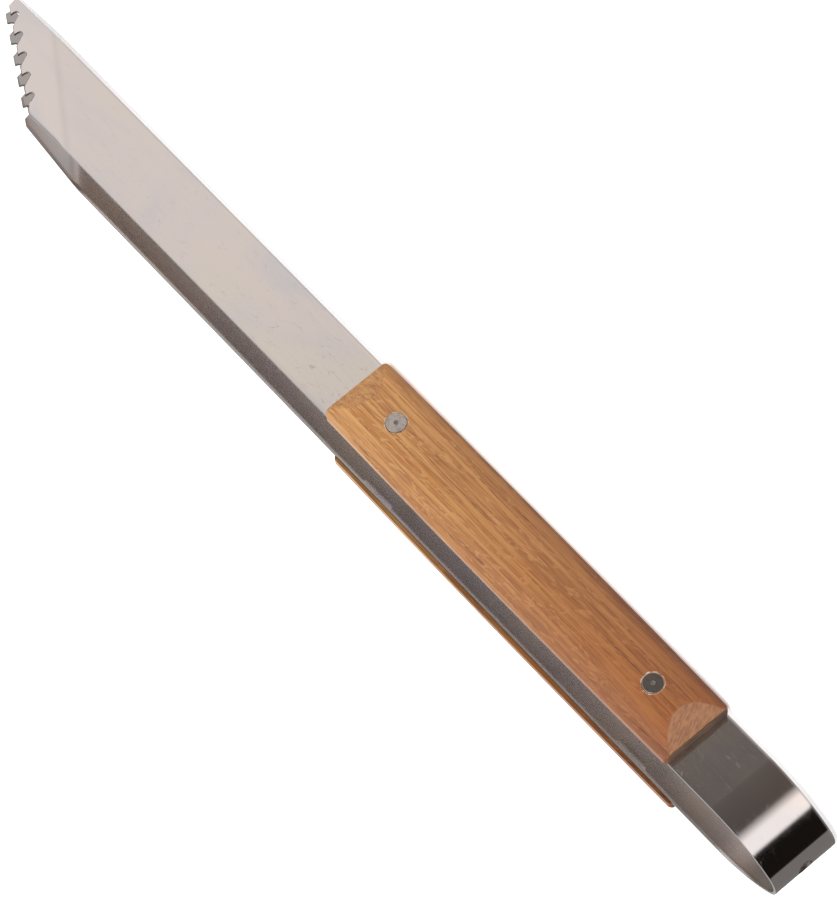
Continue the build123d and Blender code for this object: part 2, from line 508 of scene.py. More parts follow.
class Desk:
    """A node tree that a finish is laid out in."""

    def __init__(self, tree: bpy.types.NodeTree) -> None:
        """Clear the tree."""
        self.tree = tree
        tree.nodes.clear()

    def node(self, kind: str, inputs: dict[Any, Any] | None = None, **settings: Any) -> Any:
        """Add a node.

        Args:
            kind: the node's type, without its ShaderNode prefix.
            inputs: values or output sockets by input name or number.
            **settings: properties of the node.

        Returns:
            The node.
        """
        made = self.tree.nodes.new(f"ShaderNode{kind}")
        for name, value in settings.items():
            setattr(made, name, value)
        for key, value in (inputs or {}).items():
            if isinstance(value, bpy.types.NodeSocket):
                self.tree.links.new(value, made.inputs[key])
            else:
                made.inputs[key].default_value = value
        return made

    def math(self, operation: str, *values: Any) -> Any:
        """Output of a Math node on the given values or sockets."""
        return self.node("Math", dict(enumerate(values)), operation=operation).outputs[0]

    def place(self, scale: Sequence[float], tilt: float = 0.0) -> Any:
        """Object coordinates, tilted and then scaled.

        Args:
            scale: scale along X, Y and Z.
            tilt: degrees about Y.

        Returns:
            The vector socket.
        """
        coords = self.node("TexCoord").outputs["Object"]
        turned = self.node("Mapping", {0: coords, "Rotation": (0, radians(tilt), 0)}).outputs[0]
        return self.node("Mapping", {0: turned, "Scale": tuple(scale)}).outputs[0]

    def noise(self, grain: Grain) -> Any:
        """Noise over the object.

        Args:
            grain: how it is drawn.

        Returns:
            The value socket.
        """
        inputs = {
            "Vector": self.place(grain.cells, grain.tilt), "Scale": 1.0,
            "Detail": grain.detail, "Roughness": grain.rough, "Distortion": grain.distortion,
        }
        return self.node("TexNoise", inputs).outputs["Fac"]

    def span(self, value: Any, low: float, high: float, to: tuple[float, float] = (0, 1)) -> Any:
        """Smooth step of a value from low to high, onto another span.

        Args:
            value: the value socket.
            low: value that gives the first end.
            high: value that gives the second end.
            to: the two ends.

        Returns:
            The result socket.
        """
        inputs = {0: value, 1: low, 2: high, 3: to[0], 4: to[1]}
        return self.node("MapRange", inputs, interpolation_type="SMOOTHSTEP").outputs[0]

    def mix(self, share: Any, first: Any, second: Any, blend: str = "MIX") -> Any:
        """Mix of two colours.

        Args:
            share: share of the second colour, as a value or a socket.
            first: first colour or socket.
            second: second colour or socket.
            blend: how the second goes over the first.

        Returns:
            The colour socket.
        """
        made = self.node("Mix", data_type="RGBA", blend_type=blend)
        for index, value in ((0, share), (6, first), (7, second)):
            if isinstance(value, bpy.types.NodeSocket):
                self.tree.links.new(value, made.inputs[index])
            else:
                made.inputs[index].default_value = value
        return made.outputs[2]

    def ramp(self, value: Any, stops: Sequence[tuple[float, Any]]) -> Any:
        """Colour by a value, blended between stops.

        Args:
            value: the value socket.
            stops: positions from 0 to 1 and their colours.

        Returns:
            The colour socket.
        """
        made = self.node("ValToRGB", {0: value})
        elements = made.color_ramp.elements
        while len(elements) < len(stops):
            elements.new(0.5)
        for element, (position, colour) in zip(elements, stops):
            element.position = position
            element.color = colour
        return made.outputs[0]

    def mark(self, name: str) -> Any:
        """A value that the piece's mesh carries at its points."""
        return self.node("Attribute", attribute_name=name).outputs["Fac"]

    def surface(self, colour: Any, rough: Any, height: Any, relief: float, **more: Any) -> Any:
        """Principled shader with a bump.

        Args:
            colour: the colour socket.
            rough: the roughness socket.
            height: the bump's height socket.
            relief: metres that a height of 1 stands for.
            **more: further inputs of the shader.

        Returns:
            The shader node.
        """
        bump = self.node("Bump", {"Strength": 1.0, "Distance": relief, "Height": height})
        inputs = {"Base Color": colour, "Roughness": rough, "Normal": bump.outputs[0], **more}
        return self.node("BsdfPrincipled", inputs)


class Finish:
    """A finish that is laid out once and shared by the pieces that have it."""

    name = "finish"

    def material(self) -> bpy.types.Material:
        """The finish's material, made on first use.

        Returns:
            The material.
        """
        known = bpy.data.materials.get(self.name)
        if known is not None:
            return known
        made = bpy.data.materials.new(self.name)
        made.use_nodes = True
        desk = Desk(made.node_tree)
        shader = self.lay_out(desk)
        desk.node("OutputMaterial", {"Surface": shader.outputs[0]})
        return made

    def lay_out(self, desk: Desk) -> Any:
        """Lay out the nodes and return the shader node."""
        raise NotImplementedError


@dataclass(frozen=True)
class SatinSteel(Finish):
    """Satin stainless strip: lengthwise brushing, soft clouds and stains, fine scratches.

    Reads the marks `inside`, 1 on the inside of the bent strip, and `drilled`, 1 in
    the hang hole.
    """

    name: str = "satin_strip_steel"
    warm: Shade = (0.650, 0.575, 0.545, 1.0)
    cool: Shade = (0.585, 0.545, 0.545, 1.0)
    yellow: Shade = (0.645, 0.580, 0.520, 1.0)
    sheared_and_shade: Shade = (0.17, 0.155, 0.145, 1.0)
    brushing: Grain = Grain((18, 18, 2600), detail=3.0, rough=0.6)
    clouds: Grain = Grain((20, 42, 42), detail=2.5, distortion=0.8)
    stains: Grain = Grain((17, 34, 34), detail=1.5, tilt=25.0)
    gap_cells: Sequence[float] = (240, 240, 500)
    scratch_nets: Sequence[tuple[float, float, float]] = ((4, 110, 420), (-7, 160, 640))
    scratch_width: float = 0.026
    scratch_depth: float = 0.4
    relief: float = 1.2e-6
    roughness: float = 0.10
    brushing_roughness: float = 0.05
    cloud_roughness: float = 0.04
    scratch_roughness: float = 0.12
    inside_roughness: float = 0.14
    cut_roughness: float = 0.25

    def lay_out(self, desk: Desk) -> Any:
        """Lay out the brushing, the clouds and the scratches.

        Args:
            desk: the material's nodes.

        Returns:
            The shader node.
        """
        brushing, clouds, stains = map(desk.noise, (self.brushing, self.clouds, self.stains))
        scratches, cut = self.scratches(desk), self.cut_edges(desk)
        colour = desk.mix(desk.span(clouds, 0.38, 0.62), self.cool, self.warm)
        colour = desk.mix(desk.span(stains, 0.50, 0.64, (0, 0.9)), colour, self.yellow)
        # Cut edges and hang hole: dull shear-cut steel, darkened further by painted shade.
        colour = desk.mix(cut, colour, self.sheared_and_shade)
        rough: Any = self.roughness - (self.brushing_roughness + self.cloud_roughness) / 2
        for share, amount in (
            (brushing, self.brushing_roughness), (clouds, self.cloud_roughness),
            (scratches, self.scratch_roughness), (desk.mark("inside"), self.inside_roughness),
            (cut, self.cut_roughness),
        ):
            rough = desk.math("MULTIPLY_ADD", share, amount, rough)
        height = desk.math("MULTIPLY_ADD", scratches, -self.scratch_depth, brushing)
        return desk.surface(colour, rough, height, self.relief, Metallic=1.0)

    def cut_edges(self, desk: Desk) -> Any:
        """Where the strip is cut: its shear-cut edges, which face up or down, and the hole, whose
        dark colour is partly painted shade.

        Args:
            desk: the material's nodes.

        Returns:
            A socket, 1 on the cuts and 0 elsewhere.
        """
        facing = desk.node("SeparateXYZ", {0: desk.node("TexCoord").outputs["Normal"]})
        edge = desk.span(desk.math("ABSOLUTE", facing.outputs[2]), 0.36, 0.62)
        return desk.math("MAXIMUM", edge, desk.mark("drilled"))

    def scratches(self, desk: Desk) -> Any:
        """Short thin lines on the outside: edges of stretched cells, broken up.

        Args:
            desk: the material's nodes.

        Returns:
            A socket, 1 on the scratches and 0 elsewhere.
        """
        total: Any = 0.0
        for tilt, along, across in self.scratch_nets:
            inputs = {"Vector": desk.place((along, along, across), tilt), "Scale": 1.0}
            cells = desk.node("TexVoronoi", inputs, feature="DISTANCE_TO_EDGE")
            line = desk.span(cells.outputs["Distance"], 0.0, self.scratch_width, (1, 0))
            gaps = desk.noise(Grain(self.gap_cells, detail=1.0, tilt=tilt))
            broken = desk.math("MULTIPLY", line, desk.span(gaps, 0.57, 0.68))
            total = desk.math("MAXIMUM", broken, total)
        return desk.math("MULTIPLY", total, desk.math("SUBTRACT", 1.0, desk.mark("inside")))


@dataclass(frozen=True)
class TurnedSteel(Finish):
    """Rivet steel: lightly turned face with fine wear.

    Reads the mark `dimple`, 1 where the head was struck.
    """

    name: str = "turned_rivet_steel"
    bright: Shade = (0.44, 0.385, 0.355, 1.0)
    worn: Shade = tint(112, 106, 101)
    struck: Shade = (0.22, 0.19, 0.17, 1.0)
    mottle: Grain = Grain((700, 700, 700), detail=3.0)
    pits: Grain = Grain((2600, 2600, 2600), detail=2.0)
    pit_depth: float = 0.4
    relief: float = 6e-7
    roughness: float = 0.085
    mottle_roughness: float = 0.06
    struck_share: float = 0.75
    struck_roughness: float = 0.5

    def lay_out(self, desk: Desk) -> Any:
        """Lay out the mottling and the fine pits.

        Args:
            desk: the material's nodes.

        Returns:
            The shader node.
        """
        mottle, pits = desk.noise(self.mottle), desk.noise(self.pits)
        colour = desk.mix(desk.span(mottle, 0.4, 0.7, (0, 0.35)), self.bright, self.worn)
        struck = desk.math("MULTIPLY", desk.mark("dimple"), self.struck_share)
        colour = desk.mix(struck, colour, self.struck)
        even = self.roughness - self.mottle_roughness / 2
        rough = desk.math("MULTIPLY_ADD", mottle, self.mottle_roughness, even)
        rough = desk.math("MULTIPLY_ADD", struck, self.struck_roughness, rough)
        height = desk.math("MULTIPLY_ADD", pits, self.pit_depth, mottle)
        return desk.surface(colour, rough, height, self.relief, Metallic=1.0)


@dataclass(frozen=True)
class OiledHardwood(Finish):
    """Oiled hardwood: lengthwise growth bands, fibres and pores, sanded ends, and painted shade
    along the lower edge and on the end walls.

    Reads the marks `end_facet`, 1 on the sloped ends, `end_wall`, 1 on the walls
    below them, `from_rivet`, the distance from the nearest rivet's axis in
    millimetres, and `towards_bow`, which grows from 0 to 1 from the fore end.
    """

    name: str = "oiled_hardwood"
    bands: Grain = Grain((6, 150, 230), detail=4.0, rough=0.62, distortion=2.4)
    streaks: Grain = Grain((20, 520, 820), detail=3.0, rough=0.62, distortion=1.6)
    flecks: Grain = Grain((150, 600, 620), rough=0.6, tilt=9.0, distortion=1.5)
    fibres: Grain = Grain((90, 1700, 2700), rough=0.65)
    dashes: Grain = Grain((180, 1900, 3000), detail=1.0)
    saw_marks: Grain = Grain((1500, 1500, 260), tilt=28.0)
    end_rings: Grain = Grain((900, 1400, 160))
    torn: Grain = Grain((900, 900, 900))
    band_shades: Sequence[tuple[float, Shade]] = (
        (0.32, tint(190, 141, 86)), (0.43, tint(184, 132, 74)), (0.50, tint(171, 116, 60)),
        (0.57, tint(150, 94, 43)), (0.66, tint(182, 129, 72)),
    )
    streak: Shade = tint(136, 82, 42)
    fleck: Shade = tint(202, 155, 98)
    fibre: Shade = tint(208, 162, 102)
    pore: Shade = tint(94, 54, 30)
    rear_dimming: Shade = tint(196, 156, 112)
    painted_lower_shade: Shade = tint(188, 170, 150)
    sanded_shades: tuple[Shade, Shade] = (tint(164, 118, 84), tint(128, 90, 64))
    end_grain_and_shade: tuple[Shade, Shade] = (tint(104, 76, 56), tint(66, 46, 32))
    chip: Shade = tint(220, 190, 156)
    painted_shade_below: float = 2.0
    painted_shade_until: float = 6.5
    chips_within: tuple[float, float] = (3.05, 3.35)
    chip_raggedness: float = 1.3
    pore_depth: float = 1.4
    chip_depth: float = 0.8
    relief: float = 2.2e-5
    roughness: float = 0.5
    fibre_roughness: float = 0.16

    def lay_out(self, desk: Desk) -> Any:
        """Lay out the figure of the wood and its bump.

        Args:
            desk: the material's nodes.

        Returns:
            The shader node.
        """
        bands, fibres = desk.noise(self.bands), desk.noise(self.fibres)
        dark = desk.span(desk.noise(self.streaks), 0.48, 0.68, (0, 0.75))
        flecked = desk.span(desk.noise(self.flecks), 0.52, 0.66)
        figure = desk.math("MULTIPLY", flecked, desk.span(bands, 0.42, 0.54))
        pores = desk.math("MULTIPLY", desk.span(desk.noise(self.dashes), 0.58, 0.66), dark)
        colour = desk.mix(dark, desk.ramp(bands, self.band_shades), self.streak)
        colour = desk.mix(desk.math("MULTIPLY", figure, 0.55), colour, self.fleck)
        colour = desk.mix(desk.span(fibres, 0.35, 0.72, (0, 0.34)), colour, self.fibre)
        colour = desk.mix(desk.math("MULTIPLY", pores, 0.9), colour, self.pore)
        colour, chips = self.with_chips(desk, self.with_ends(desk, colour))
        even = self.roughness - self.fibre_roughness / 2
        rough = desk.math("MULTIPLY_ADD", fibres, self.fibre_roughness, even)
        height = desk.math("MULTIPLY_ADD", pores, -self.pore_depth, fibres)
        height = desk.math("MULTIPLY_ADD", chips, -self.chip_depth, height)
        return desk.surface(colour, rough, height, self.relief)

    def with_ends(self, desk: Desk, colour: Any) -> Any:
        """Darken towards the rear end, paint shade along the lower edge, and show the cut ends.

        Args:
            desk: the material's nodes.
            colour: the colour of the long grain.

        Returns:
            The colour socket.
        """
        along = desk.mark("towards_bow")
        colour = desk.mix(along, colour, self.rear_dimming, blend="MULTIPLY")
        place = desk.node("SeparateXYZ", {0: desk.place((1, 1, 1))}).outputs
        # Painted shade: the wood darkens towards its lower edge, the side that faces the floor.
        lower = desk.span(place[2], self.painted_shade_below * MM, self.painted_shade_until * MM, (0.3, 0))
        colour = desk.mix(lower, colour, self.painted_lower_shade, blend="MULTIPLY")
        sanded = desk.mix(desk.span(desk.noise(self.saw_marks), 0.35, 0.7), *self.sanded_shades)
        plainer = desk.math("MULTIPLY_ADD", along, 0.5, 0.2)
        colour = desk.mix(desk.math("MULTIPLY", desk.mark("end_facet"), plainer), colour, sanded)
        # End walls: dark end grain, darkened further by painted shade.
        grain = desk.mix(desk.span(desk.noise(self.end_rings), 0.4, 0.6), *self.end_grain_and_shade)
        return desk.mix(desk.math("MULTIPLY", desk.mark("end_wall"), 0.95), colour, grain)

    def with_chips(self, desk: Desk, colour: Any) -> tuple[Any, Any]:
        """Pale torn fibres in a thin ring round each rivet.

        Args:
            desk: the material's nodes.
            colour: the colour of the wood.

        Returns:
            The colour socket, and a socket that is 1 on the chips.
        """
        torn = desk.noise(self.torn)
        edge = desk.math("MULTIPLY_ADD", torn, -self.chip_raggedness, desk.mark("from_rivet"))
        chips = desk.span(edge, *self.chips_within, (1, 0))
        return desk.mix(desk.math("MULTIPLY", chips, 0.8), colour, self.chip), chips


# --------------------------------------------------------------------------
# Pieces
# --------------------------------------------------------------------------


@dataclass(frozen=True)
class Piece:
    """What a finished piece is called, stands for and is finished with."""

    name: str
    nodes: Sequence[str]
    slot: Slot
    finish: Finish

    def make(self, solid: Solid, rounding: float = 0.0, smooth: float = 35.0) -> bpy.types.Object:
        """Put a solid into a mesh object, round its rims and dress it.

        Args:
            solid: the closed solid.
            rounding: radius at its rims, in millimetres.
            smooth: faces that meet at less than this many degrees shade as one.

        Returns:
            The object, at the origin.
        """
        solid.turned_outwards()
        mesh = bpy.data.meshes.new(self.name)
        faces = [face for block in solid.faces for face in block.tolist()]
        mesh.from_pydata((solid.points * MM).tolist(), [], faces)
        for mark, values in solid.marks.items():
            mesh.attributes.new(mark, "FLOAT", "POINT").data.foreach_set(
                "value", values.astype(np.float32)
            )
        made = bpy.data.objects.new(self.name, mesh)
        bpy.context.scene.collection.objects.link(made)
        if rounding:
            self.weigh_rims(mesh, solid)
            made.data = self.rounded(made, rounding)
        made.data.name = self.name
        made.data.polygons.foreach_set("use_smooth", np.ones(len(made.data.polygons), bool))
        made.data.set_sharp_from_angle(angle=radians(smooth))
        made.data.materials.clear()
        made.data.materials.append(self.finish.material())
        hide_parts(*self.nodes)
        LOG.info("%s: %d faces for %s", self.name, len(made.data.polygons), ", ".join(self.nodes))
        return made

    @staticmethod
    def weigh_rims(mesh: bpy.types.Mesh, solid: Solid) -> None:
        """Give the edges along a solid's rims their bevel weight.

        Args:
            mesh: the solid's mesh.
            solid: the solid, whose rims name pairs of points.
        """
        count = len(solid.points)
        pairs = np.empty(len(mesh.edges) * 2, dtype=np.int64)
        mesh.edges.foreach_get("vertices", pairs)
        pairs = np.sort(pairs.reshape(-1, 2), axis=1)
        rims = np.sort(solid.rims, axis=1)
        on_rim = np.isin(pairs[:, 0] * count + pairs[:, 1], rims[:, 0] * count + rims[:, 1])
        weights = mesh.attributes.new("bevel_weight_edge", "FLOAT", "EDGE")
        weights.data.foreach_set("value", on_rim.astype(np.float32))

    @staticmethod
    def rounded(made: bpy.types.Object, radius: float) -> bpy.types.Mesh:
        """The object's mesh with its weighted edges rounded.

        Args:
            made: the object.
            radius: radius of the rounding, in millimetres.

        Returns:
            The new mesh.
        """
        bevel = made.modifiers.new("rounding", "BEVEL")
        bevel.limit_method = "WEIGHT"
        bevel.width = radius * MM
        bevel.segments = 2
        bevel.use_clamp_overlap = False
        graph = bpy.context.evaluated_depsgraph_get()
        mesh = bpy.data.meshes.new_from_object(made.evaluated_get(graph))
        made.modifiers.clear()
        return mesh


@dataclass(frozen=True)
class Arm:
    """One flat arm of the strip, with its folded, toothed end."""

    side: Side
    reach: float
    place: ArmPlace
    rows: int = 18
    patch_half: float = 7.0
    tooth_pitch: float = 0.8
    probes: int = 60001
    least_step: float = 0.045

    @property
    def across(self) -> Array:
        """Unit step across the fold line, along the station and the height."""
        run = np.array([STRIP.width, TEETH.fold_run])
        return run / np.linalg.norm(run)

    def folded(self, station: float, height: float) -> tuple[float, float]:
        """Where a point of the flat strip is after folding, seen from the side.

        Beyond the fold, a distance across it shrinks by the cosine of the fold.

        Args:
            station: station on the flat strip.
            height: height on the flat strip.

        Returns:
            Station and height after folding.
        """
        offset = np.array([station - TEETH.fold_station, height + STRIP.half_width])
        beyond = max(float(offset @ self.across), 0.0)
        lost = beyond * (1 - cos(radians(TEETH.fold_angle)))
        return station - lost * float(self.across[0]), height - lost * float(self.across[1])

    def slanted(self, distance: float) -> tuple[float, float]:
        """Point of the toothed edge.

        Args:
            distance: distance along the slant from the blunt end.

        Returns:
            Station and height after folding.
        """
        angle = radians(TEETH.slant)
        height = TEETH.blunt_end - STRIP.half_width + distance * sin(angle)
        return self.folded(self.reach - distance * cos(angle), height)

    def depth(self, station: Array, height: Array, below: float) -> Array:
        """Depth of a face of the sheet over a point seen from the side.

        Nothing before the fold, then a circular arc about the fold's axis, then a
        slope by the fold angle.

        Args:
            station: stations of the points.
            height: heights of the points.
            below: how far the face lies below the outside face.

        Returns:
            The depths.
        """
        angle = radians(TEETH.fold_angle)
        run = (station - TEETH.fold_station) * self.across[0]
        run = run + (height + STRIP.half_width) * self.across[1]
        run = run + TEETH.fold_radius * angle / 2
        radius = TEETH.fold_radius - below
        arc = np.clip(run, 0, radius * sin(angle))
        bend = TEETH.fold_radius - np.sqrt(radius**2 - arc**2)
        return bend + np.clip(run - radius * sin(angle), 0, None) * tan(angle)

    def gullets(self) -> list[tuple[float, float, float]]:
        """The gullets between the teeth.

        Returns:
            Station, root height and widening of each gullet.
        """
        found = []
        for index in range(TEETH.gullets):
            station, height = self.slanted(TEETH.first + index * TEETH.pitch)
            root = height - TEETH.depth + TEETH.root_radius
            widening = (TEETH.mouth / 2 - TEETH.root_radius) / (height - root)
            found.append((station, root, widening))
        return found

    def top(self, station: Array) -> Array:
        """Upper outline: the fold's shortened edge, then the slant with its gullets.

        A gullet is a half circle below its root height and two leaning walls above.

        Args:
            station: stations of the outline.

        Returns:
            The heights.
        """
        slant_length = (STRIP.width - TEETH.blunt_end) / sin(radians(TEETH.slant))
        tip, shoulder = self.slanted(0), self.slanted(slant_length)
        corners = [(0, STRIP.half_width), (TEETH.fold_station - TEETH.fold_run, STRIP.half_width),
                   shoulder, tip]
        height = np.interp(station, *zip(*corners))
        for centre, root, widening in self.gullets():
            off = np.abs(station - centre)
            bowl = root - np.sqrt(np.clip(TEETH.root_radius**2 - off**2, 0, None))
            wall = root + (off - TEETH.root_radius) / widening
            height = np.minimum(height, np.where(off <= TEETH.root_radius, bowl, wall))
        return height

    def bottom(self, station: Array) -> Array:
        """Lower outline: straight to the fold, then to the tip's rounded corner.

        Args:
            station: stations of the outline.

        Returns:
            The heights.
        """
        end = self.slanted(0)[0]
        corners = [(0, -STRIP.half_width), (TEETH.fold_station, -STRIP.half_width),
                   self.folded(self.reach, -STRIP.half_width)]
        height = np.interp(station, *zip(*corners))
        return height + quarter_drop(end - station, TEETH.corner_radius)

    def stations(self) -> Array:
        """Stations of the toothed end, which meet its every corner.

        Even steps, the arcs of the gullets and of the tip's corner, and the places
        where the upper outline changes its slope. Stations too close are left out.

        Returns:
            The rising stations.
        """
        end = self.slanted(0)[0]
        fold_end = TEETH.fold_station - TEETH.fold_run
        turn = np.radians(np.linspace(-90, 90, 15))
        found = [spans((fold_end - TEETH.fold_radius / 3, end), self.tooth_pitch)]
        fine = np.linspace(fold_end, end, self.probes)
        for centre, _, _ in self.gullets():
            found.append(centre + TEETH.root_radius * np.sin(turn))
        height = self.top(fine)
        bends = np.abs(np.diff(height, 2))
        found.append(fine[1:-1][bends > 4 * np.median(bends) + 2e-5])
        found.append(end - TEETH.corner_radius * (1 - np.cos(np.radians(np.linspace(0, 90, 9)))))
        merged = np.unique(np.round(np.concatenate(found), 3))
        keep = np.concatenate([[True], np.diff(merged) > self.least_step])
        keep[-1] = True
        return merged[keep]

    def sheet(self) -> Sheet:
        """The arm as a sheet with a hole for each rivet.

        Plain grids between the rivets, a ring of quads round each hole, and a grid
        whose rows run from the lower to the upper outline at the toothed end.

        Returns:
            The welded sheet, in the arm's own frame.
        """
        rows = np.linspace(0, 1, self.rows + 1)
        toothed = self.stations()
        stops = [0.0]
        parts = []
        for centre in sorted(RIVET_STATIONS.values()):
            ends = (centre - self.patch_half, centre + self.patch_half)
            parts.append(self.plain(spans((stops[-1], ends[0]), 6.0), rows))
            parts.append(self.pierced(spans(ends, 1.2), rows, centre))
            stops.append(ends[1])
        parts.append(self.plain(spans((stops[-1], toothed[0]), 6.0), rows))
        parts.append(self.plain(toothed, rows))
        return Sheet.joined(parts)

    def plain(self, stations: Array, rows: Array) -> Sheet:
        """Grid of stations and rows between the outlines.

        Args:
            stations: stations of the grid.
            rows: shares of the height.

        Returns:
            The sheet over the grid.
        """
        low, high = self.bottom(stations), self.top(stations)
        height = low[:, None] + rows * (high - low)[:, None]
        plan = np.stack([np.broadcast_to(stations[:, None], height.shape), height], axis=-1)
        return self.raised(plan, False)

    def pierced(self, stations: Array, rows: Array, centre: float) -> Sheet:
        """Rings of quads round a rivet's hole.

        Args:
            stations: stations of the patch round the hole.
            rows: shares of the height at its two ends.
            centre: station of the hole.

        Returns:
            The sheet over the rings.
        """
        low, high = self.bottom(stations), self.top(stations)
        loop = patch_outline(low, high, stations, rows)
        hole = RIVET.sleeve_radius + RIVET.sleeve_clearance
        return self.raised(holed_rings(loop, centre, (hole, hole + 1.0), 4), True)

    def raised(self, plan: Array, ring: bool) -> Sheet:
        """Both faces of the sheet over a grid of stations and heights.

        Args:
            plan: the grid.
            ring: whether each row of it closes on itself.

        Returns:
            The sheet.
        """
        station, height = plan.reshape(-1, 2).T
        faces = [
            np.stack([station, self.depth(station, height, below), height], axis=-1)
            for below in (0.0, STRIP.thickness)
        ]
        return Sheet(*faces, grid_quads(*plan.shape[:2], ring=ring))

    def build(self, finish: Finish) -> bpy.types.Object:
        """Make the arm and let it ride on its half.

        Args:
            finish: the strip's finish.

        Returns:
            The arm's object.
        """
        sheet = self.sheet()
        solid = sheet.closed(seam=sheet.outer[:, 0] < 1e-6)
        solid.points = self.place.put(solid.points, self.side)
        nodes = (f"{self.side.word}_arm", f"{self.side.word}_jaw")
        piece = Piece(f"{self.side.word}_arm_strip", nodes, Slot.STRIP, finish)
        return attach(piece.make(solid, STRIP.edge_round), self.side.body)


@dataclass(frozen=True)
class SpringBow:
    """The rounded bow that joins the arms, with the hole to hang the tongs by."""

    place: ArmPlace
    rows: int = 18
    hole_half_turn: float = 38.0
    lip: Sequence[float] = (0.0, 0.15, 0.6)
    fan_rings: int = 6
    fan_power: float = 1.2

    def radii(self) -> tuple[float, float]:
        """Outside radii of the flanks and of the back.

        Both follow from the bow's depth and gap: a flank turns from the lean to the
        flank turn, and the back turns the rest.

        Returns:
            Radius of the flanks and radius of the back.
        """
        lean, turn = radians(STRIP.lean), radians(STRIP.flank_turn)
        flank_out, flank_in = sin(turn) + sin(lean), cos(lean) - cos(turn)
        back_out, back_in = 1 - sin(turn), cos(turn)
        scale = flank_out * back_in - back_out * flank_in
        flank = (STRIP.bow_depth * back_in - STRIP.half_gap * back_out) / scale
        back = (STRIP.half_gap * flank_out - STRIP.bow_depth * flank_in) / scale
        return flank, back

    def outline(self, turn: Array) -> Array:
        """Outside line of the bow by the angle turned, in degrees.

        Three arcs one after the other. Along an arc of radius r from angle a to b,
        x falls by r (sin b - sin a) and y grows by r (cos a - cos b).

        Args:
            turn: angles from minus the lean to a half turn plus the lean.

        Returns:
            X and Y of each point, from the end of the front arm.
        """
        flank, back = self.radii()
        ends = (-STRIP.lean, STRIP.flank_turn, 180 - STRIP.flank_turn, 180 + STRIP.lean)
        x = np.zeros_like(turn)
        y = np.full_like(turn, -STRIP.half_gap)
        for radius, low, high in zip((flank, back, flank), ends[:-1], ends[1:]):
            angle = np.radians(np.clip(turn, low, high))
            x -= radius * (np.sin(angle) - sin(radians(low)))
            y += radius * (cos(radians(low)) - np.cos(angle))
        return np.stack([x, y], axis=-1)

    def face(self, turn: Array, height: Array, below: float) -> Array:
        """Points of a face of the bow.

        The outside line, less a depth along the outward direction
        (-sin turn, -cos turn).

        Args:
            turn: angles turned, in degrees.
            height: heights from the middle of the strip.
            below: depth below the outside face.

        Returns:
            Points in the model's frame.
        """
        line = self.outline(turn)
        angle = np.radians(turn)
        x = self.place.bow_end_x + line[:, 0] + below * np.sin(angle)
        y = line[:, 1] + below * np.cos(angle)
        return np.stack([x, y, self.place.middle_z + height], axis=-1)

    def sheet(self) -> Sheet:
        """The bow as a sheet: two flanks, the back, and a ring round the hole.

        Returns:
            The welded sheet, in the model's frame.
        """
        rows = np.linspace(-STRIP.half_width, STRIP.half_width, self.rows + 1)
        half = self.hole_half_turn
        near = spans((-STRIP.lean, STRIP.flank_turn, 90 - half), 0.5)
        parts = [self.plain(near, rows), self.plain((180 - near)[::-1], rows)]
        turns = spans((90 - half, 90 + half), 2.0)
        ends = np.full_like(turns, STRIP.half_width)
        loop = patch_outline(-ends, ends, turns, (rows / STRIP.width) + 0.5)
        faces = []
        for below in (0.0, STRIP.thickness):
            rings = self.hole_rings(loop, self.radii()[1] - below)
            faces.append(self.face(rings[..., 0].ravel(), rings[..., 1].ravel(), below))
        parts.append(Sheet(*faces, grid_quads(*rings.shape[:2], ring=True)))
        return Sheet.joined(parts)

    def plain(self, turns: Array, rows: Array) -> Sheet:
        """Grid of angles and rows.

        Args:
            turns: angles turned, in degrees.
            rows: heights from the middle of the strip.

        Returns:
            The sheet over the grid.
        """
        turn, height = np.meshgrid(turns, rows, indexing="ij")
        faces = [self.face(turn.ravel(), height.ravel(), d) for d in (0.0, STRIP.thickness)]
        return Sheet(*faces, grid_quads(*turn.shape))

    def hole_rings(self, loop: Array, radius: float) -> Array:
        """Rings round the hole on a face of the back.

        The hole is drilled along X, so its circle in Y and height is laid on the
        face by turn = 90 + asin(y / radius).

        Args:
            loop: outline of the patch, as angles and heights.
            radius: radius of the face.

        Returns:
            Rings of angles and heights.
        """
        reach = np.stack([np.radians(loop[:, 0] - 90) * radius, loop[:, 1]], axis=-1)
        way = reach / np.linalg.norm(reach, axis=1, keepdims=True)
        circles = []
        for beyond in self.lip:
            circle = (STRIP.hang_hole_radius + beyond) * way
            turn = 90 + np.degrees(np.arcsin(circle[:, 0] / radius))
            circles.append(np.stack([turn, circle[:, 1]], axis=-1))
        share = fan_shares(self.fan_rings, self.fan_power)
        return np.concatenate([circles, (1 - share) * circles[-1] + share * loop])

    def build(self, finish: Finish) -> bpy.types.Object:
        """Make the bow, in the model's frame.

        Args:
            finish: the strip's finish.

        Returns:
            The bow's object.
        """
        sheet = self.sheet()
        end_x = self.place.bow_end_x
        ends = np.abs(sheet.outer[:, 1]) > STRIP.half_gap - 1e-4
        solid = sheet.closed(seam=ends & (sheet.outer[:, 0] > end_x - 1e-4))
        off = np.hypot(solid.points[:, 1], solid.points[:, 2] - self.place.middle_z)
        solid.marks["drilled"] = (off < STRIP.hang_hole_radius + 0.05).astype(float)
        piece = Piece("spring_bow_strip", ("spring_bow",), Slot.STRIP, finish)
        made = piece.make(solid, STRIP.edge_round)
        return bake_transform(made)


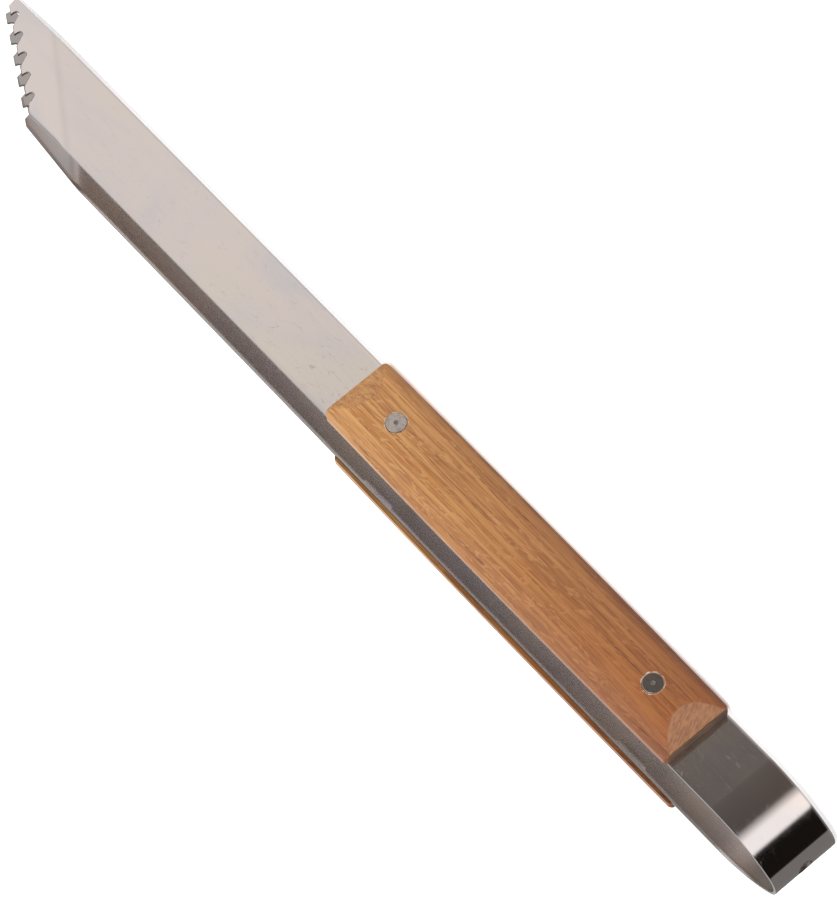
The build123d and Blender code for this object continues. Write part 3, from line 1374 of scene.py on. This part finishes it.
@dataclass(frozen=True)
class HandleScale:
    """A wooden scale: straight walls, rounded edges, a crowned face and sloped ends."""

    side: Side
    place: ArmPlace
    patch_half: float = 7.0
    facet_fade: float = 0.25
    facet_above_wall: float = -0.9

    def half_width(self, station: Array) -> Array:
        """Half the width of the bellied plan, less its rounded corners.

        A circular belly through the two end widths and the middle width, less a
        quarter circle at each corner.

        Args:
            station: stations.

        Returns:
            Half widths.
        """
        half_end, half_mid = SCALE.end_width / 2, SCALE.mid_width / 2
        rise, half_length = half_mid - half_end, SCALE.length / 2
        radius = (half_length**2 + rise**2) / (2 * rise)
        off = station - (SCALE.start + SCALE.end) / 2
        belly = half_mid - radius + np.sqrt(radius**2 - off**2)
        to_end = np.minimum(station - SCALE.start, SCALE.end - station)
        return belly - quarter_drop(to_end, SCALE.corner_radius)

    def crown(self, height: Array) -> Array:
        """How far the crowned face stands off the strip: three arcs across the scale.

        A wide arc over the middle, and at each side an arc of the edge radius that
        leaves it without a crease and ends upright on the side.

        Args:
            height: heights from the middle of the scale.

        Returns:
            Distances from the strip.
        """
        wide, edge = SCALE.crown_radius, SCALE.edge_radius
        low = SCALE.height - wide
        side = SCALE.mid_width / 2 - edge
        centre = low + float(np.sqrt((wide - edge) ** 2 - side**2))
        seam = side * wide / (wide - edge)
        over = np.clip(np.abs(height) - side, 0, edge)
        middle = np.sqrt(wide**2 - height**2) + low
        return np.where(np.abs(height) < seam, middle, centre + np.sqrt(edge**2 - over**2))

    def slope(self, station: Array) -> Array:
        """How far the sloped ends stand off the strip: a straight rise from the wall."""
        to_end = np.minimum(station - SCALE.start, SCALE.end - station)
        return SCALE.end_wall + (SCALE.height - SCALE.end_wall) * to_end / SCALE.bevel

    def rim_distance(self, station: Array, height: Array) -> Array:
        """Distance from the plan's outline, inwards.

        The distance to a box with rounded corners: corner radius less the length of
        the part of the offset that is beyond the straight sides.

        Args:
            station: stations.
            height: heights.

        Returns:
            Distances, nothing on the outline.
        """
        radius = SCALE.corner_radius
        middle = (SCALE.start + SCALE.end) / 2
        belly = self.half_width(np.clip(station, SCALE.start + radius, SCALE.end - radius))
        over = np.stack([
            np.abs(station - middle) - SCALE.length / 2 + radius,
            np.abs(height) - belly + radius,
        ])
        outside = np.linalg.norm(np.clip(over, 0, None), axis=0)
        return np.clip(radius - outside - np.clip(over.max(axis=0), None, 0), 0, None)

    def surface(self, station: Array, height: Array) -> Array:
        """Height of the top face: crown and slopes with a soft crease, rounded at its rim."""
        face = soft_least(self.crown(height), self.slope(station), SCALE.crease_round)
        return face - quarter_drop(self.rim_distance(station, height), SCALE.rim_round)

    def rows(self) -> Array:
        """Shares of the width, close together over the rounded edges.

        Returns:
            Rising shares from 0 to 1.
        """
        turn = np.radians(np.arange(0, 60, 6))
        edge = SCALE.edge_radius * (1 - np.cos(turn)) / SCALE.mid_width
        inside = np.linspace(edge[-1], 1 - edge[-1], 64)
        return np.concatenate([edge[:-1], inside, (1 - edge[:-1])[::-1]])

    def end_stations(self) -> Array:
        """Distances from an end, fine over its rounded edge and its slope."""
        round_off = SCALE.corner_radius * (1 - np.cos(np.radians(np.linspace(0, 90, 13))))
        return np.concatenate([round_off, spans((SCALE.corner_radius, SCALE.bevel + 1), 0.3)[1:]])

    def sheet(self) -> Sheet:
        """The scale as a thick sheet with a stepped seat for each rivet.

        Returns:
            The welded sheet, in the arm's own frame.
        """
        rows = self.rows()
        near = SCALE.start + self.end_stations()
        far = (SCALE.end - self.end_stations())[::-1]
        edges = [near[-1]]
        parts = [self.plain(near, rows)]
        for centre in sorted(RIVET_STATIONS.values()):
            ends = (centre - self.patch_half, centre + self.patch_half)
            parts.append(self.plain(spans((edges[-1], ends[0]), 3.0), rows))
            parts.append(self.seated(spans(ends, 0.6), rows, centre))
            edges.append(ends[1])
        parts.append(self.plain(spans((edges[-1], far[0]), 3.0), rows))
        parts.append(self.plain(far, rows))
        return Sheet.joined(parts)

    def plain(self, stations: Array, rows: Array) -> Sheet:
        """Grid of stations and rows across the scale.

        Args:
            stations: stations of the grid.
            rows: shares of the width.

        Returns:
            The sheet over the grid.
        """
        half = self.half_width(stations)[:, None]
        height = (2 * rows - 1) * half
        station = np.broadcast_to(stations[:, None], height.shape)
        plan = np.stack([station, height], axis=-1).reshape(-1, 2)
        top = self.surface(*plan.T)
        return self.sheet_of(plan, top, plan, grid_quads(*height.shape))

    def seated(self, stations: Array, rows: Array, centre: float) -> Sheet:
        """Rings round a rivet: hole, flat seat, wall, small chamfer, then the face.

        Args:
            stations: stations of the patch round the rivet.
            rows: shares of the width at its two ends.
            centre: station of the rivet.

        Returns:
            The sheet over the rings.
        """
        half = self.half_width(stations)
        loop = patch_outline(-half, half, stations, rows)
        hole = RIVET.sleeve_radius + RIVET.sleeve_clearance
        wall = RIVET.head_radius + RIVET.clearance
        lip = wall + RIVET.chamfer
        outer = holed_rings(loop, centre, (hole, wall, wall, lip), 8)
        inner = holed_rings(loop, centre, (hole, hole + 0.5, wall, lip), 8)
        top = self.surface(*outer.reshape(-1, 2).T).reshape(outer.shape[:2])
        top[:2] = SCALE.height - RIVET.below_crown - RIVET.head_thickness
        top[2] -= RIVET.chamfer
        quads = grid_quads(*outer.shape[:2], ring=True)
        return self.sheet_of(outer.reshape(-1, 2), top.ravel(), inner.reshape(-1, 2), quads)

    @staticmethod
    def sheet_of(outer: Array, top: Array, inner: Array, quads: Array) -> Sheet:
        """A sheet between a top face and the strip.

        Args:
            outer: stations and heights of the top face's points.
            top: how far they stand off the strip.
            inner: stations and heights of the points on the strip.
            quads: quads that join the points.

        Returns:
            The sheet.
        """
        faces = [
            np.stack([outer[:, 0], -top, outer[:, 1]], axis=-1),
            np.stack([inner[:, 0], np.zeros(len(inner)), inner[:, 1]], axis=-1),
        ]
        return Sheet(*faces, quads)

    def build(self, finish: Finish) -> bpy.types.Object:
        """Make the scale, mark its facets and rivet seats, and let it ride on its half.

        Args:
            finish: the wood's finish.

        Returns:
            The scale's object.
        """
        solid = self.sheet().closed()
        station, depth, height = solid.points.T
        below_crown = self.crown(height) + depth
        to_end = np.minimum(station - SCALE.start, SCALE.end - station)
        facet = np.clip(below_crown / self.facet_fade, 0, 1) * (to_end < SCALE.bevel + 1)
        facet *= -depth > SCALE.end_wall + self.facet_above_wall
        away = [np.hypot(station - s, height) for s in RIVET_STATIONS.values()]
        solid.marks = {
            "end_facet": facet,
            "end_wall": (to_end < 0.02).astype(float),
            "from_rivet": np.minimum(*away),
            "towards_bow": np.clip((SCALE.end - station) / SCALE.length, 0, 1),
        }
        solid.points = self.place.put(solid.points, self.side)
        nodes = (f"{self.side.word}_handle_scale",)
        piece = Piece(f"{self.side.word}_handle_wood", nodes, Slot.WOOD, finish)
        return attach(piece.make(solid), self.side.body)


def turned(profile: Array, station: float, count: int = 72) -> Solid:
    """Solid turned about an axis across the arm.

    Each profile point at radius r goes round the axis at the angles of a full turn;
    the first and last points lie on the axis and close the ends with fans.

    Args:
        profile: radii and distances outwards from the arm's outside face.
        station: station of the axis.
        count: points round the axis.

    Returns:
        The closed solid in the arm's frame.
    """
    angle = np.arange(count) * 2 * pi / count
    radius, out = profile[1:-1].T
    x = station + radius[:, None] * np.cos(angle)
    z = radius[:, None] * np.sin(angle)
    y = np.broadcast_to(-out[:, None], x.shape)
    body = np.stack([x, y, z], axis=-1).reshape(-1, 3)
    poles = np.array([[station, -profile[0, 1], 0], [station, -profile[-1, 1], 0]])
    near = np.arange(count)
    after = (near + 1) % count
    last = (len(radius) - 1) * count
    total = len(body)
    fans = [
        np.stack([np.full(count, total), near, after], axis=-1),
        np.stack([np.full(count, total + 1), last + after, last + near], axis=-1),
    ]
    quads = grid_quads(len(radius), count, ring=True)
    return Solid(np.concatenate([body, poles]), [quads, *fans])


def arc(centre: tuple[float, float], radius: float, start: float, end: float, steps: int) -> Array:
    """Points of an arc of a profile, from one angle to another in degrees."""
    angle = np.radians(np.linspace(start, end, steps + 1))
    return np.stack([centre[0] + radius * np.cos(angle), centre[1] + radius * np.sin(angle)], -1)


@dataclass(frozen=True)
class Rivet:
    """A two-part rivet: a sleeve from the wood side and a pin from inside the arm."""

    side: Side
    where: RivetPlace
    place: ArmPlace

    def sleeve(self) -> Array:
        """Profile of the sleeve: dimpled head, shank, and bore for the pin.

        Returns:
            Radii and distances outwards, from the dimple to the bottom of the bore.
        """
        top = SCALE.height - RIVET.below_crown
        seat = top - RIVET.head_thickness
        dimple, depth = RIVET.dimple_radius, RIVET.dimple_depth
        ball = (dimple**2 + depth**2) / (2 * depth)
        half = degrees(np.arcsin(dimple / ball))
        bowl = arc((0, top - depth + ball), ball, -90, -90 + half, 6)
        round_off = RIVET.rim_round
        rim = arc((RIVET.head_radius - round_off, top - round_off), round_off, 90, 0, 5)
        rest = np.array([
            (RIVET.head_radius, seat),
            (RIVET.sleeve_radius, seat),
            (RIVET.sleeve_radius, -STRIP.thickness),
            (RIVET.pin_radius, -STRIP.thickness),
            (RIVET.pin_radius, RIVET.pin_length - STRIP.thickness),
            (0, RIVET.pin_length - STRIP.thickness),
        ])
        flat = [(dimple + 0.03, top), (2.0, top), (rim[0, 0] - 0.02, top)]
        return np.concatenate([bowl, flat, rim, rest])

    def pin(self) -> Array:
        """Profile of the pin: rounded head inside the arm and solid shank.

        Returns:
            Radii and distances outwards, from the head to the end of the shank.
        """
        under = -STRIP.thickness
        bottom = under - RIVET.pin_head
        round_off = RIVET.pin_head_round
        centre = (RIVET.head_radius - round_off, bottom + round_off)
        rim = arc(centre, round_off, -90, 0, 6)
        rest = np.array([
            (RIVET.head_radius, under),
            (RIVET.pin_radius, under),
            (RIVET.pin_radius, RIVET.pin_length - STRIP.thickness),
            (0, RIVET.pin_length - STRIP.thickness),
        ])
        return np.concatenate([[(0, bottom)], [(1.5, bottom)], rim, rest])

    def dimple(self, local: Array) -> Array:
        """1 at the points inside the dimple of the outer head, 0 elsewhere.

        Args:
            local: stations, depths and heights.

        Returns:
            The values.
        """
        station, depth, height = local.T
        off = np.hypot(station - RIVET_STATIONS[self.where], height)
        return ((off < RIVET.dimple_radius + 0.01) & (depth < 1 - SCALE.height)).astype(float)

    def build(self, finish: Finish) -> list[bpy.types.Object]:
        """Make both halves of the rivet and let them ride on their side.

        Args:
            finish: the rivets' finish.

        Returns:
            The sleeve and the pin.
        """
        made = []
        for half, profile in (("sleeve", self.sleeve()), ("pin", self.pin())):
            solid = turned(profile, RIVET_STATIONS[self.where])
            solid.marks["dimple"] = self.dimple(solid.points)
            solid.points = self.place.put(solid.points, self.side)
            stem = f"{self.side.word}_{self.where.value}_rivet"
            piece = Piece(f"{stem}_turned_{half}", (f"{stem}_{half}",), Slot.RIVET, finish)
            made.append(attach(piece.make(solid, smooth=30.0), self.side.body))
        return made


# --------------------------------------------------------------------------
# Studio
# --------------------------------------------------------------------------


@dataclass(frozen=True)
class Studio:
    """Plain pale floor, soft surroundings and one wide light."""

    floor_half: float = 6.0
    floor_colour: Sequence[float] = (0.90, 0.90, 0.90, 1.0)
    floor_glow: float = 0.45
    floor_roughness: float = 0.9
    sky: float = 1.0
    ground: float = 0.62
    walls_until: float = 0.35
    plain_from: float = 0.70
    sun_strength: float = 1.6
    sun_spread: float = 70.0
    sun_height: float = 62.0
    sun_azimuth: float = -25.0

    # Brightness round the horizon by the direction, in degrees from -Y towards -X
    walls: Sequence[tuple[float, Colour]] = (
        (-179.0, (0.26, 0.25, 0.24)),
        (-168.0, (1.80, 1.95, 2.02)),
        (-138.0, (1.80, 1.95, 2.02)),
        (-127.0, (0.30, 0.29, 0.28)),
        (-70.0, (0.20, 0.19, 0.18)),
        (-62.0, (1.04, 1.03, 1.02)),
        (-48.0, (1.02, 1.01, 1.00)),
        (-40.0, (0.93, 0.92, 0.91)),
        (-29.0, (1.02, 1.01, 1.00)),
        (-22.7, (1.00, 0.98, 0.96)),
        (-21.5, (0.20, 0.18, 0.17)),
        (-19.0, (0.165, 0.150, 0.140)),
        (0.0, (0.138, 0.123, 0.114)),
        (14.0, (0.126, 0.111, 0.101)),
        (23.5, (1.45, 1.42, 1.38)),
        (37.5, (1.50, 1.48, 1.46)),
        (39.0, (0.012, 0.010, 0.008)),
        (71.0, (0.012, 0.010, 0.008)),
        (75.5, (0.26, 0.25, 0.24)),
        (179.0, (0.26, 0.25, 0.24)),
    )

    def build(self) -> None:
        """Make the floor, the surroundings and the light."""
        self.floor()
        self.surroundings()
        self.sun()

    def floor(self) -> None:
        """Plain pale floor, which the steel doesn't mirror."""
        size = self.floor_half
        corners = [(-size, -size, 0), (size, -size, 0), (size, size, 0), (-size, size, 0)]
        mesh = bpy.data.meshes.new("floor")
        mesh.from_pydata(corners, [], [(0, 1, 2, 3)])
        made = bpy.data.objects.new("floor", mesh)
        bpy.context.scene.collection.objects.link(made)
        paint = bpy.data.materials.new("floor_paint")
        paint.use_nodes = True
        shader = paint.node_tree.nodes["Principled BSDF"]
        shader.inputs["Base Color"].default_value = self.floor_colour
        shader.inputs["Roughness"].default_value = self.floor_roughness
        shader.inputs["Emission Color"].default_value = self.floor_colour
        shader.inputs["Emission Strength"].default_value = self.floor_glow
        mesh.materials.append(paint)
        made.visible_glossy = False

    def surroundings(self) -> None:
        """Soft walls of different brightness round the horizon, between two plain ends."""
        world = bpy.data.worlds.new("studio")
        world.use_nodes = True
        bpy.context.scene.world = world
        desk = Desk(world.node_tree)
        way = desk.node("SeparateXYZ", {0: desk.node("TexCoord").outputs["Generated"]}).outputs
        west, south = (desk.math("MULTIPLY", way[axis], -1.0) for axis in (0, 1))
        angle = desk.math("ARCTAN2", west, south)
        share = desk.math("MULTIPLY_ADD", angle, 1 / (2 * pi), 0.5)
        peak = max(max(colour) for _, colour in self.walls)
        stops = [
            ((degree + 180) / 360, (*(part / peak for part in colour), 1.0))
            for degree, colour in self.walls
        ]
        ring = desk.ramp(share, stops)
        lifted = desk.span(desk.math("ABSOLUTE", way[2]), self.walls_until, self.plain_from)
        above = desk.span(way[2], -0.1, 0.1)
        ends = [(level / peak,) * 3 + (1.0,) for level in (self.ground, self.sky)]
        colour = desk.mix(lifted, ring, desk.mix(above, *ends))
        shader = desk.node("Background", {"Color": colour, "Strength": peak})
        desk.node("OutputWorld", {"Surface": shader.outputs[0]})

    def sun(self) -> None:
        """One wide soft light from above."""
        data = bpy.data.lights.new("overhead", "SUN")
        data.energy = self.sun_strength
        data.angle = radians(self.sun_spread)
        made = bpy.data.objects.new("overhead", data)
        lift, round_z = radians(self.sun_height), radians(self.sun_azimuth)
        towards = Vector((sin(round_z) * cos(lift), -cos(round_z) * cos(lift), sin(lift)))
        made.rotation_euler = towards.to_track_quat("Z", "Y").to_euler()
        bpy.context.scene.collection.objects.link(made)


@dataclass(frozen=True)
class View:
    """The camera: where it stands round the tongs and how it is tilted."""

    target: Sequence[float] = (-0.018546, -0.0123, 0.012096)
    distance: float = 2.2
    azimuth: float = 22.04
    elevation: float = 13.35
    tilt: float = 230.89
    lens: float = 275.61
    sensor: float = 36.0

    def build(self) -> None:
        """Make the camera and set it as the scene's.

        The camera looks at the target from the azimuth, from -Y towards -X, and the
        elevation, and is then turned about its own line of sight by the tilt.
        """
        round_z, lift = radians(self.azimuth), radians(self.elevation)
        back = Vector((-sin(round_z) * cos(lift), -cos(round_z) * cos(lift), sin(lift)))
        right = Vector((0, 0, 1)).cross(back).normalized()
        up = back.cross(right)
        turn = radians(self.tilt)
        level = (right * cos(turn) + up * sin(turn), up * cos(turn) - right * sin(turn), back)
        data = bpy.data.cameras.new("camera")
        data.lens = self.lens
        data.sensor_width = self.sensor
        data.clip_end = 50.0
        made = bpy.data.objects.new("camera", data)
        made.matrix_world = Matrix.Translation(Vector(self.target) + back * self.distance) @ (
            Matrix(level).transposed().to_4x4()
        )
        bpy.context.scene.collection.objects.link(made)
        bpy.context.scene.camera = made


def main() -> None:
    """Build the tongs piece by piece, then the studio and the camera."""
    logging.basicConfig(level=logging.INFO, format="%(name)s: %(message)s", stream=sys.stdout)
    place = ArmPlace.from_frame()
    steel, wood, rivet_steel = SatinSteel(), OiledHardwood(), TurnedSteel()
    SpringBow(place).build(steel)
    for side, reach in ((Side.FRONT, STRIP.front_reach), (Side.BACK, STRIP.back_reach)):
        Arm(side, reach, place).build(steel)
        HandleScale(side, place).build(wood)
        for where in RivetPlace:
            Rivet(side, where, place).build(rivet_steel)
    Studio().build()
    View().build()
    bpy.context.scene.view_settings.view_transform = "Standard"


if __name__ == "__main__":
    main()
